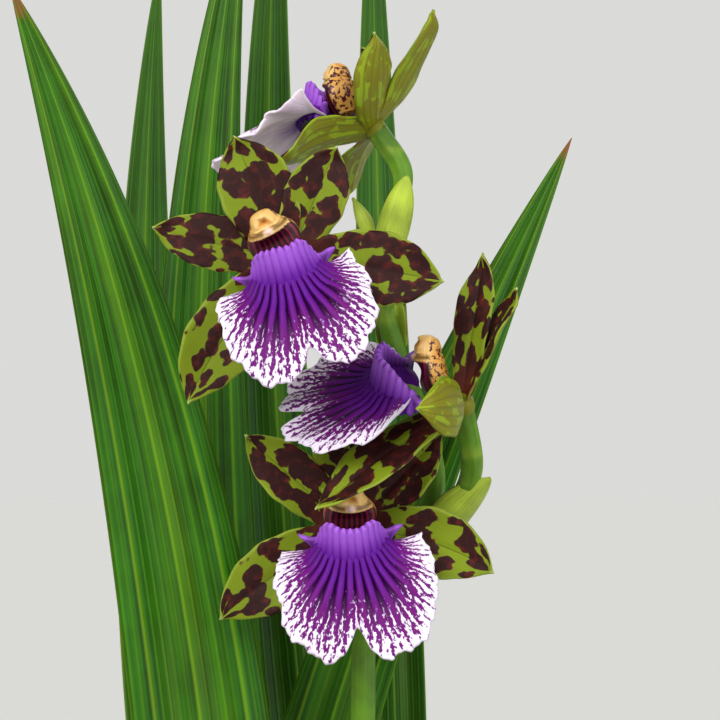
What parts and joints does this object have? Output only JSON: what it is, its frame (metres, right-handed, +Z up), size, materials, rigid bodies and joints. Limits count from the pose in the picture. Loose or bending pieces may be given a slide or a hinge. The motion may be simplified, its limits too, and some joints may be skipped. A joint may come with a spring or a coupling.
{
  "type": "potted orchid",
  "caption": "Flowering zygopetalum orchid in a plain round pot: strap leaves on pseudobulbs, and an upright spike of barred green and maroon blooms with violet lips.",
  "frame": {"origin": "centre of the pot's flat underside, where the plant rests", "axes": "+Z up, -Y towards the side that the blooms face"},
  "size_m": [0.3559, 0.321, 0.6401],
  "materials": {
    "pot_clay": "matt unglazed clay",
    "bark": "rough bark chips",
    "pseudobulb_green": "fleshy, ribbed, satin",
    "leaf_green": "pleated leaf, satin",
    "spike_green": "fleshy stem, satin",
    "tepal_green_and_maroon": "green tepal barred with maroon, satin",
    "lip_violet": "white lip veined with violet, velvety",
    "column_cream": "cream column with a maroon underside, satin"
  },
  "bodies": {
    "root": {"bark_mix": "bark", "bloom_lower_column": "column_cream", "bloom_lower_lip": "lip_violet", "bloom_lower_tepals": "tepal_green_and_maroon", "bloom_middle_column": "column_cream", "bloom_middle_lip": "lip_violet", "bloom_middle_tepals": "tepal_green_and_maroon", "bloom_top_column": "column_cream", "bloom_top_lip": "lip_violet", "bloom_top_tepals": "tepal_green_and_maroon", "bloom_upper_column": "column_cream", "bloom_upper_lip": "lip_violet", "bloom_upper_tepals": "tepal_green_and_maroon", "flower_spike": "spike_green", "leaf_back_low": "leaf_green", "leaf_back_thin": "leaf_green", "leaf_back_upright": "leaf_green", "leaf_front_left": "leaf_green", "leaf_front_low": "leaf_green", "leaf_left_dark": "leaf_green", "leaf_left_outer": "leaf_green", "leaf_left_tall": "leaf_green", "leaf_right_lean": "leaf_green", "leaf_right_low": "leaf_green", "leaf_right_young": "leaf_green", "leaf_young": "leaf_green", "pot": "pot_clay", "pseudobulb_back": "pseudobulb_green", "pseudobulb_front": "pseudobulb_green", "pseudobulb_left": "pseudobulb_green", "pseudobulb_right": "pseudobulb_green"}
  },
  "joints": []
}
